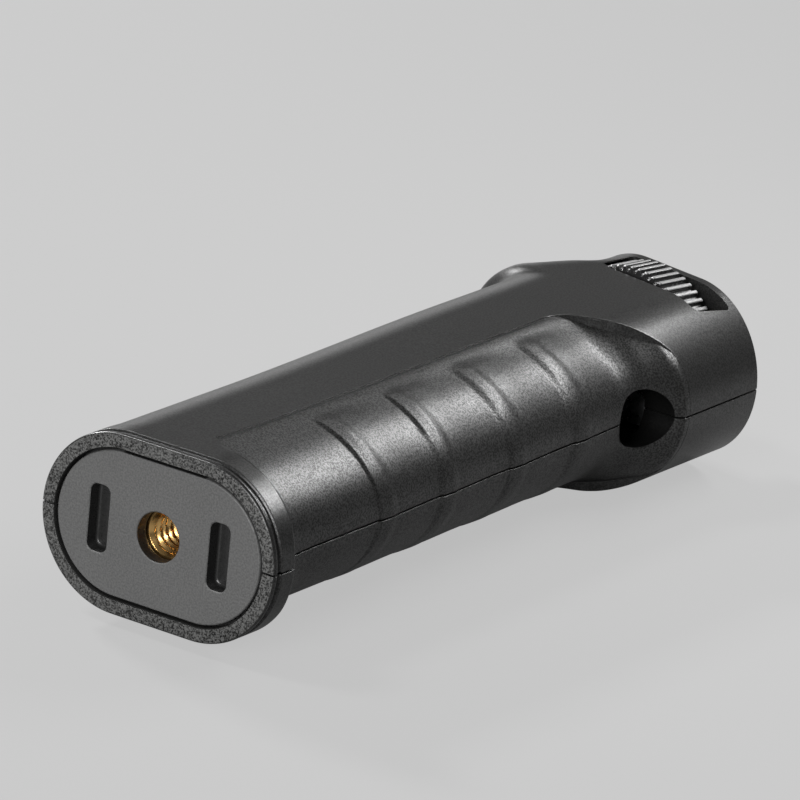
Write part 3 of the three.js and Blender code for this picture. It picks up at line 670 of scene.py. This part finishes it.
SCREWS = [(-1.8, 22.75), (-1.8, 51.9), (-1.8, 81.0), (8.2, 112.0), (-8.0, 112.0)]  # f and l
SCREW_HEAD_LOW, SCREW_HEAD_HIGH, SCREW_TIP = -13.55, -11.55, 7.5
POST_R, COUNTERBORE_R, SCREW_HOLE_R = 3.5, 2.9, 1.7
PLATE_SIZE, PLATE_TOP, MOUTH, MOUTH_WIDE = (36, 21.9), 3.2, (36.8, 22.7), (37.3, 23.2)  # length and width
HANDLE_ROOM = (-18.3, 13.55, 10.7, 3.0, 92.5)  # low and high f, half width, low and high l
HEAD_ROOM = (-19, 19.8, 11.6, 107.9, 118.5)
SPRING_LOW, SPRING_HIGH = (-8.3, HOLE_L, -3.6), (15.3, 105.9, 3.6)  # corners of the spring's room


def across(obj, f, l):
    """Moves a shape that stands along Z, which is across the grip, to its f and l"""
    return put(obj, Matrix.Translation((f, l, 0)))


def hollow(low_f, high_f, half, low_l, high_l):
    """The room inside the shells, round at its four long edges"""
    obj = block((low_f, low_l, -half), (high_f, high_l, half))
    return round_edges(obj, lambda edge: abs(edge.verts[0].co.y - edge.verts[1].co.y) > 1, half * 0.55, 6)


def wheel_window():
    """The thumbwheel's window on one side of the head"""
    low_x, high_x, low_w, high_w, open_s = -7.7, 14.3, -9.9, -1.9, 5.5
    window = block((low_x, open_s, low_w), (high_x, 17, high_w))
    across_window = lambda edge: abs(edge.verts[0].co.y - edge.verts[1].co.y) > 1
    low_back = lambda edge: across_window(edge) and all(v.co.x < 0 and v.co.z < -5 for v in edge.verts)
    round_edges(window, low_back, 3.4, 8)
    # the other long edges, which are still sharp
    sharp = lambda edge: across_window(edge) and edge.calc_face_angle() > 1
    round_edges(window, sharp, 1.0, 5)
    return window


def shell_cutters():
    """Everything that is cut from both shells, in millimetres of the whole grip"""
    cutters = [put(stadium(*MOUTH, -1, PLATE_TOP), IN_HANDLE)]
    flare = stadium(*MOUTH_WIDE, -0.25, 0.25)
    taper(flare, 0, MOUTH[0] / MOUTH_WIDE[0], MOUTH[1] / MOUTH_WIDE[1])
    cutters.append(put(flare, IN_HANDLE))
    cutters.append(put(stadium(38.4, 24.3, 1.7, 3.5), IN_HANDLE))
    handle, head = hollow(*HANDLE_ROOM), hollow(*HEAD_ROOM)
    for f, l in SCREWS:
        post = across(rod(POST_R, -15, 15, 32), f, l)
        combine(handle if l < HEAD_START else head, post)
    cutters += [handle, head]
    # rooms of the wheel, the lower washers and the bush
    for low, high, radius in [(-9.3, -2.6, 15.65), (-10.85, -9.0, 8.3), (-2.9, 2, 4.8), (-2.9, -1.6, 6.8)]:
        cutters.append(put(rod(radius, low, high, 128), IN_HEAD))
    pad_seat = stadium(31.6, 19.6, -0.9, 3)
    cutters.append(put(pad_seat, IN_HEAD))
    window = wheel_window()
    other = copy_of(window, "window")
    cutters.append(put(window, IN_HEAD))
    cutters.append(put(other, Matrix.Scale(-1, 4, Vector((0, 1, 0))), IN_HEAD))
    outward(cutters[-1])
    # the cross hole, with rings of vertices along it so that no long thin faces run through it
    hole = rod(HOLE_R, -30, 30, 128)
    for level in np.linspace(14, 24, 21):
        for way in (-1, 1):
            pick(hole, "VERT", lambda vert: True)
            bpy.ops.mesh.bisect(plane_co=(0, 0, way * level), plane_no=(0, 0, 1))
            close_edit()
    cutters.append(put(hole, Matrix.Rotation(math.pi / 2, 4, "Y"), Matrix.Translation((0, HOLE_L, 0))))
    cutters.append(block(SPRING_LOW, SPRING_HIGH))
    return cutters


def zone_finishes(obj):
    """Slot 0 for the smooth sides, 1 for the finger zone, 2 for the ring round the plate, 3 for the hole,
    whose darker colour is painted shade
    """
    mesh = obj.data
    centre, normal = np.empty((len(mesh.polygons), 3)), np.empty((len(mesh.polygons), 3))
    mesh.polygons.foreach_get("center", centre.ravel())
    mesh.polygons.foreach_get("normal", normal.ravel())
    f, l, s = centre.T
    finger = (f > crease_front(l) + 0.02) & (l > flange_line(f) + 0.05) & (l < rim_line(f) - 0.05) & (l < 107)
    ring = (l < 0.05) & (normal[:, 1] < -0.9)
    room = (f > SPRING_LOW[0] - 0.05) & (f < SPRING_HIGH[0] + 0.05) & (np.abs(s) < SPRING_HIGH[2] + 0.02)
    room &= (l > HOLE_L) & (l < SPRING_HIGH[1] + 0.05)
    # the walls of the cross hole and of the spring's room take the darker colour: painted shade
    hole = (np.hypot(l - HOLE_L, s) < HOLE_R + 0.02) | room
    slots = np.where(hole, 3, np.where(ring, 2, np.where(finger, 1, 0)))
    mesh.polygons.foreach_set("material_index", slots.astype(np.int32))
    mesh.update()


def half_shell(sizes, ridges):
    """A closed solid with the outer form of the right half"""
    points = shell_rows(sizes, ridges)
    rows, columns = points.shape[:2]
    half = sheet(columns, rows, points)
    ends = lambda edge: all(vert.index % columns in (0, columns - 1) for vert in edge.verts)
    pick(half, "EDGE", lambda edge: ends(edge) and abs(edge.verts[0].index - edge.verts[1].index) == columns)
    bpy.ops.mesh.bridge_edge_loops()
    close_edit()
    return close_holes(half)


class FLASHGRIP_OT_shells(bpy.types.Operator):
    """Makes the two moulded half shells: handle, finger zone, flange and head"""
    bl_idname = "flashgrip.shells"
    bl_label = "Half shells"

    def execute(self, context):
        sizes = context.scene.flash_grip_sizes
        right = half_shell(sizes, 1.0)
        left = half_shell(sizes, sizes.left_ridges)
        put(left, Matrix.Scale(-1, 4, Vector((0, 0, 1))))
        outward(left)
        for cutter in shell_cutters():
            combine(right, cutter, keep=True)
            combine(left, cutter)
        for f, l in SCREWS:
            combine(left, across(rod(COUNTERBORE_R, -20, SCREW_HEAD_HIGH), f, l))
            combine(left, across(rod(SCREW_HOLE_R, -12, 1, 48), f, l))
            combine(right, across(rod(SCREW_HOLE_R, -1, SCREW_TIP + 0.3, 48), f, l))
        for half, name, node in [(right, "right_half", "right_shell"), (left, "left_half", "left_shell")]:
            dress(half, "shell_satin", "finger_grain", "rim_grain", "hole_painted_shade")
            zone_finishes(half)
            finish_piece(half, name, None, "grip", [node])
        return {"FINISHED"}


# Base plate, insert

SLOT_PLACE, SLOT_SIZE, SLOT_FLOOR = 10.65, (3.5, 10.2), 2.6
BOSS_SIZE, BOSS_TOP = (26, 14), 12.7
THROAT_R, INSERT_ROOM_R = 3.75, 5.2


class FLASHGRIP_OT_base(bpy.types.Operator):
    """Makes the base plate with its two blind slots and the throat to the threaded insert"""
    bl_idname = "flashgrip.base"
    bl_label = "Base plate"

    def execute(self, context):
        edge = 0.14
        start = PLATE_SINK + edge
        plate = stadium(*PLATE_SIZE, PLATE_SINK, PLATE_TOP, 128)
        round_edges(plate, sharp_at(PLATE_SINK), 0.3, 3)
        combine(plate, stadium(37.8, 23.7, 2.0, PLATE_TOP, 128), "UNION")
        combine(plate, stadium(*BOSS_SIZE, 3.0, BOSS_TOP, 64), "UNION")
        combine(plate, flared(rod(THROAT_R, start, 13), edge))
        combine(plate, rod(INSERT_ROOM_R, 2.4, 14))
        for middle in (-SLOT_PLACE, SLOT_PLACE):
            wide, long = SLOT_SIZE
            corner = (middle - wide / 2, -long / 2, start)
            slot = block(corner, (middle + wide / 2, long / 2, SLOT_FLOOR))
            round_edges(slot, upright, 1.2, 6)
            round_edges(slot, sharp_at(SLOT_FLOOR), 0.45, 4)
            combine(plate, flared(slot, edge))
        dress(plate, "plate_grained", "recess_gloss_painted_shade")
        # the walls and floors of the slots and the throat get a darker, glossier copy of the plate's plastic:
        # the darker colour is painted shade
        for face in plate.data.polygons:
            face.material_index = int(start < face.center.z < 13 and face.center.xy.length < 13.2)
        finish_piece(plate, "slotted_plate", None, "grip", ["base_plate"], IN_HANDLE)
        return {"FINISHED"}


CREST_SHARE = 0.12  # of the pitch that is flat at a crest


def thread_cut(z, angle, pitch, ridge):
    """0 to 1: how deep a right-hand thread goes at a height and an angle, with flats at crest and root"""
    turn = (z / pitch - angle / (2 * math.pi)) % 1
    return np.clip((np.abs(2 * turn - 1) - ridge) / (1 - 2 * ridge), 0, 1)


class FLASHGRIP_OT_insert(bpy.types.Operator):
    """Makes the brass insert with its quarter-inch thread"""
    bl_idname = "flashgrip.insert"
    bl_label = "Threaded insert"

    def execute(self, context):
        sizes = context.scene.flash_grip_sizes
        low, high, outer, inner, around = 2.7, BOSS_TOP, 4.9, 3.2, 96
        inside = spread(high, low, 0.1)
        outside = np.array([low, low, low + 0.15, high - 0.15, high, high])
        outside_r = np.array([outer - 0.4, outer - 0.15, outer, outer, outer - 0.15, outer - 0.4])
        heights = np.r_[outside[2:], inside, outside[:2]]
        deselect()
        bpy.ops.mesh.primitive_torus_add(major_segments=around, minor_segments=len(heights), major_radius=4,
                                         minor_radius=0.5)
        insert = context.object
        angle = np.repeat(np.arange(around) * 2 * math.pi / around, len(heights))
        z = np.tile(heights, around)
        radius = np.tile(np.r_[outside_r[2:], np.zeros(len(inside)), outside_r[:2]], around)
        bore = inner - sizes.thread_depth * thread_cut(z, angle, sizes.pitch, CREST_SHARE)
        mouth = inner + 0.2 - np.minimum(z - low, high - z)
        bore = np.maximum(bore, np.minimum(mouth, inner + 0.2))
        radius = np.where(radius > 0, radius, bore)
        lay_points(insert, np.stack([radius * np.cos(angle), radius * np.sin(angle), z], 1))
        outward(insert)
        nodes = ["base_insert"]
        finish_piece(insert, "threaded_insert", "turned_brass", "grip", nodes, IN_HANDLE, 40)
        return {"FINISHED"}


# Head: wheel, bolt, bush, pad

BORE_R = 3.475  # round the bolt, in the wheel and in the bush


class FLASHGRIP_OT_wheel(bpy.types.Operator):
    """Makes the ribbed thumbwheel"""
    bl_idname = "flashgrip.wheel"
    bl_label = "Thumbwheel"

    def execute(self, context):
        sizes = context.scene.flash_grip_sizes
        low, high, radius, chamfer = -8.8, -3.0, 15.15, 0.25
        rib = np.array([0.12, 0, 0, 0, 0, 0.12, 0.85, 1, 1, 1, 1, 0.85]) * sizes.rib_height
        around = sizes.rib_count * len(rib)
        wheel = rod(radius, low + chamfer, high - chamfer, around)
        points = np.empty(len(wheel.data.vertices) * 3)
        wheel.data.vertices.foreach_get("co", points)
        points = points.reshape(-1, 3)
        turn = np.arctan2(points[:, 1], points[:, 0]) / (2 * math.pi) * around
        reach = (radius - rib[np.round(turn - 0.5).astype(int) % len(rib)]) / radius
        points[:, :2] *= reach[:, None]
        lay_points(wheel, points)
        for level, way in [(low + chamfer, -1), (high - chamfer, 1)]:
            pick(wheel, "FACE", lambda face: all(abs(vert.co.z - level) < TOUCH for vert in face.verts))
            pull_out(way * chamfer)
            shrink = 1 - chamfer / radius
            bpy.ops.transform.resize(value=(shrink, shrink, 1), center_override=(0, 0, 0))
            close_edit()
        outward(wheel)
        combine(wheel, rod(BORE_R, -10, 0, 64))
        combine(wheel, rod(8.3, -3.8, 0))
        combine(wheel, rod(11.6 / math.sqrt(3), -10, -4.4, 6))
        dress(wheel, "wheel_gloss", "rib_tops_painted_highlight")
        # the tops of the ribs get a paler colour: painted highlight
        for face in wheel.data.polygons:
            face.material_index = int(face.center.xy.length > radius - 0.15)
        finish_piece(wheel, "ribbed_wheel", None, "wheel", ["thumbwheel"], IN_HEAD)
        return {"FINISHED"}


class FLASHGRIP_OT_bolt(bpy.types.Operator):
    """Makes the clamp bolt: a hexagon head and a threaded shank"""
    bl_idname = "flashgrip.bolt"
    bl_label = "Clamp bolt"

    def execute(self, context):
        sizes = context.scene.flash_grip_sizes
        head_low, head_high, tip, radius, chamfer, around = -8.6, -4.7, 7.2, 3.175, 0.8, 72
        heights = spread(head_high - 0.5, tip, 0.1)
        angle = np.tile(np.arange(around + 1) * 2 * math.pi / around, len(heights))
        z = np.repeat(heights, around + 1)
        cut = thread_cut(z, angle, sizes.pitch, CREST_SHARE) * ease(z, -1.5, -0.5)
        reach = np.minimum(radius - sizes.thread_depth * cut, radius - chamfer + (tip - z))
        points = np.stack([reach * np.cos(angle), reach * np.sin(angle), z], 1)
        bolt = close_holes(outward(sheet(around + 1, len(heights), points)))
        head = rod(11 / math.sqrt(3), head_low, head_high, 6)
        round_edges(head, sharp_at(head_low), 0.4, 3)
        combine(bolt, head, "UNION")
        finish_piece(bolt, "threaded_bolt", "plated_steel", "wheel", ["clamp_bolt"], IN_HEAD, 40)
        return {"FINISHED"}


class FLASHGRIP_OT_head(bpy.types.Operator):
    """Makes the flanged bush and the rubber pad on the end face"""
    bl_idname = "flashgrip.head"
    bl_label = "Bush and pad"

    def execute(self, context):
        low, flange, high = -2.6, -1.9, -0.6
        bush = rod(4.5, low, high)
        combine(bush, rod(6.5, low, flange), "UNION")
        combine(bush, rod(BORE_R, -4, 0))
        for level in (high, flange, low):
            round_edges(bush, sharp_at(level), 0.12, 2)
        finish_piece(bush, "flanged_bush", "turned_brass", "grip", ["bolt_bush"], IN_HEAD)
        low, high = -0.6, 0.7
        pad = stadium(31, 19, low, high, 128)
        combine(pad, rod(5, low - 1, high + 1))
        groove_depth, groove_width = 0.3, 0.7
        for length, width in [(28, 16), (23.5, 11.5)]:
            ring = stadium(length, width, high - groove_depth, high + 1)
            inner = (length - 2 * groove_width, width - 2 * groove_width)
            combine(ring, stadium(*inner, low, high + 2))
            combine(pad, ring)
        round_edges(pad, sharp_at(high), 0.2, 3)
        finish_piece(pad, "grooved_pad", "pad_rubber", "grip", ["top_pad"], IN_HEAD)
        return {"FINISHED"}


class FLASHGRIP_OT_spring(bpy.types.Operator):
    """Makes the waved leaf spring above the cross hole"""
    bl_idname = "flashgrip.spring"
    bl_label = "Leaf spring"

    def execute(self, context):
        low, high, half, thickness, seat, wave, steps = -8.0, 15.0, 3.3, 0.5, 103.9, 1.2, 72
        across_it = [-half, 0, half]
        along = np.tile(np.linspace(0, 1, steps + 1), len(across_it))
        side = np.repeat(across_it, steps + 1)
        height = seat + wave * (1 + np.cos(2 * math.pi * along)) / 2
        points = np.stack([low + (high - low) * along, side, height], 1)
        spring = sheet(steps + 1, len(across_it), points)
        modify(spring, "SOLIDIFY", thickness=thickness, offset=1)
        modify(spring, "BEVEL", width=0.1, segments=2, limit_method="ANGLE", angle_limit=1.0)
        outward(spring)
        finish_piece(spring, "waved_spring", "plated_steel", "grip", ["shaft_spring"], IN_HANDLE)
        return {"FINISHED"}


class FLASHGRIP_OT_screws(bpy.types.Operator):
    """Makes the five housing screws on the left side"""
    bl_idname = "flashgrip.screws"
    bl_label = "Housing screws"

    def execute(self, context):
        screw = rod(2.6, SCREW_HEAD_LOW, SCREW_HEAD_HIGH, 64)
        round_edges(screw, sharp_at(SCREW_HEAD_LOW), 0.7, 5)
        for half_x, half_y in [(1.5, 0.28), (0.28, 1.5)]:
            bar = block((-half_x, -half_y, SCREW_HEAD_LOW - 1), (half_x, half_y, SCREW_HEAD_LOW + 1.1))
            combine(screw, taper(bar, SCREW_HEAD_LOW, 0.6, 0.6))
        combine(screw, rod(1.4, SCREW_HEAD_HIGH - 0.1, SCREW_TIP, 48), "UNION")
        for number, (f, l) in enumerate(SCREWS, 1):
            one = across(copy_of(screw, "screw"), f, l)
            nodes = [f"housing_screw_{number}"]
            finish_piece(one, f"cross_screw_{number}", "plated_steel", "grip", nodes)
        bpy.data.objects.remove(screw, do_unlink=True)
        return {"FINISHED"}


CARRIED = {
    "insert_backplate": "plated_steel",
    "insert_screw_1": "plated_steel",
    "insert_screw_2": "plated_steel",
    "thrust_washer_upper": "washer_nylon",
    "thrust_washer_lower": "washer_nylon",
    "wave_washer": "plated_steel",
}


class FLASHGRIP_OT_carried(bpy.types.Operator):
    """Gives the hidden CAD pieces that stay their finishes"""
    bl_idname = "flashgrip.carried"
    bl_label = "Carried-over pieces"

    def execute(self, context):
        for node, finish in CARRIED.items():
            dress(frame["nodes"][node], finish)
        return {"FINISHED"}


# Stage

# As solved from the photograph
CAMERA_FORWARD, CAMERA_RIGHT = Vector((-0.51758, 0.79387, -0.31918)), Vector((0.81698, 0.56938, 0.09138))
FLOOR_SHARE, WORLD_SHARE, GLOSS_SHARE = 0.65, 1.0, 0.1  # of the backdrop's own colour
FLOOR_GLOW, WORLD_GLOW = 1.22, 0.93
WORLD_LIGHT, WORLD_STRENGTH = (0.62, 0.62, 0.62, 1), 0.09


def lamp(name, place, target, size, power):
    """A rectangular lamp; sizes in metres, power in watts"""
    data = bpy.data.lights.new(name, "AREA")
    data.shape = "RECTANGLE"
    data.size, data.size_y = size
    data.energy = power
    obj = bpy.data.objects.new(name, data)
    bpy.context.scene.collection.objects.link(obj)
    obj.location = place
    obj.rotation_euler = (target - place).to_track_quat("-Z", "Y").to_euler()


def backdrop_share(tree, camera_share):
    """How much of the backdrop's own colour a ray sees: most from the camera, less off or through a piece"""
    path = add_node(tree, "ShaderNodeLightPath", {}).outputs
    camera = math_node(tree, "MULTIPLY", path["Is Camera Ray"], camera_share)
    clear = math_node(tree, "MAXIMUM", path["Is Glossy Ray"], path["Is Transmission Ray"])
    return math_node(tree, "MAXIMUM", camera, math_node(tree, "MULTIPLY", clear, GLOSS_SHARE))


def show_backdrop(tree, plain, kind, colour, strength, camera_share, output):
    """Mixes the backdrop's own colour into the floor or the world"""
    pale = add_node(tree, kind, {"Color": (*colour, 1), "Strength": strength}).outputs[0]
    shaders = {"Fac": backdrop_share(tree, camera_share), 1: plain.outputs[0], 2: pale}
    mix = add_node(tree, "ShaderNodeMixShader", shaders)
    fill(tree, tree.nodes[output], {"Surface": mix.outputs[0]})


class FLASHGRIP_OT_stage(bpy.types.Operator):
    """Makes the floor, the world, the lamps and the camera"""
    bl_idname = "flashgrip.stage"
    bl_label = "Studio"

    def execute(self, context):
        studio = context.scene.flash_grip_studio
        scene = context.scene
        scene.view_settings.view_transform = "Standard"
        deselect()
        bpy.ops.mesh.primitive_plane_add(size=6, location=(0, 0, -0.0004))
        floor = fix_place(context.object)
        floor.name = "floor"
        material = bpy.data.materials.new("floor_paper")
        material.use_nodes = True
        tree = material.node_tree
        inputs = {"Base Color": (*studio.floor, 1), "Roughness": 0.9}
        paper = fill(tree, tree.nodes["Principled BSDF"], inputs)
        show_backdrop(tree, paper, "ShaderNodeEmission", studio.backdrop, FLOOR_GLOW, FLOOR_SHARE,
                      "Material Output")
        floor.data.materials.append(material)

        world = bpy.data.worlds.new("studio_world")
        scene.world = world
        world.use_nodes = True
        tree = world.node_tree
        light = fill(tree, tree.nodes["Background"], {"Color": WORLD_LIGHT, "Strength": WORLD_STRENGTH})
        show_backdrop(tree, light, "ShaderNodeBackground", studio.backdrop, WORLD_GLOW, WORLD_SHARE,
                      "World Output")

        # a close strip past the head over the finger side, aimed near the base
        near_base = AXIS + Vector((0, 0.03, 0))
        lamp("key_lamp", AXIS + Vector((0.088, 0.228, 0.158)), near_base, (0.18, 0.04), 0.46)
        # high past the head, high and low behind the back, before the base face, high over its back edge
        middle = AXIS + Vector((0, 0.06, 0))
        lamp("crest_lamp", middle + Vector((-0.22, 0.68, 0.70)), middle, (0.4, 0.08), 0.35)
        lamp("side_lamp", middle + Vector((-0.85, 0.22, 0.50)), middle, (0.15, 0.12), 8)
        lamp("back_lamp", middle + Vector((-0.75, 0.80, 0.10)), middle, (0.4, 0.2), 0.25)
        lamp("face_lamp", middle + Vector((0.15, -1.0, 0.30)), middle, (0.4, 0.4), 8)
        lamp("edge_lamp", middle + Vector((-0.52, -0.30, 0.77)), middle, (0.2, 0.2), 4)

        data = bpy.data.cameras.new("camera")
        data.sensor_width = 36
        data.lens = studio.lens
        data.clip_start, data.clip_end = 0.05, 20
        camera = bpy.data.objects.new("camera", data)
        scene.collection.objects.link(camera)
        forward = CAMERA_FORWARD.normalized()
        down = forward.cross(CAMERA_RIGHT).normalized()
        right = down.cross(forward).normalized()
        turn = Matrix((right, -down, -forward)).transposed().to_4x4()
        camera.matrix_world = Matrix.Translation(AXIS + Vector(studio.camera_place)) @ turn
        scene.camera = camera
        return {"FINISHED"}


class FLASHGRIP_PT_panel(bpy.types.Panel):
    """Lists the steps that build the grip, and its settings"""
    bl_idname = "FLASHGRIP_PT_panel"
    bl_label = "Flash grip"
    bl_space_type = "VIEW_3D"
    bl_region_type = "UI"
    bl_category = "Flash grip"

    def draw(self, context):
        for step in STEPS:
            self.layout.operator(step.bl_idname)
        for group, place in GROUPS.items():
            for name in place.__annotations__:
                self.layout.prop(getattr(context.scene, group), name)


GROUPS = {"flash_grip_sizes": FlashGripSizes, "flash_grip_colours": FlashGripColours,
          "flash_grip_studio": FlashGripStudio}
STEPS = [
    FLASHGRIP_OT_shells, FLASHGRIP_OT_base, FLASHGRIP_OT_insert, FLASHGRIP_OT_wheel, FLASHGRIP_OT_bolt,
    FLASHGRIP_OT_head, FLASHGRIP_OT_spring, FLASHGRIP_OT_screws, FLASHGRIP_OT_carried, FLASHGRIP_OT_stage]


def register():
    for cls in [*GROUPS.values(), *STEPS, FLASHGRIP_PT_panel]:
        bpy.utils.register_class(cls)
    for group, cls in GROUPS.items():
        setattr(bpy.types.Scene, group, PointerProperty(type=cls))


def unregister():
    for group in GROUPS:
        delattr(bpy.types.Scene, group)
    for cls in reversed([*GROUPS.values(), *STEPS, FLASHGRIP_PT_panel]):
        bpy.utils.unregister_class(cls)


def main():
    register()
    bpy.ops.flashgrip.shells()
    bpy.ops.flashgrip.base()
    bpy.ops.flashgrip.insert()
    bpy.ops.flashgrip.wheel()
    bpy.ops.flashgrip.bolt()
    bpy.ops.flashgrip.head()
    bpy.ops.flashgrip.spring()
    bpy.ops.flashgrip.screws()
    bpy.ops.flashgrip.carried()
    bpy.ops.flashgrip.stage()


if __name__ == "__main__":
    main()
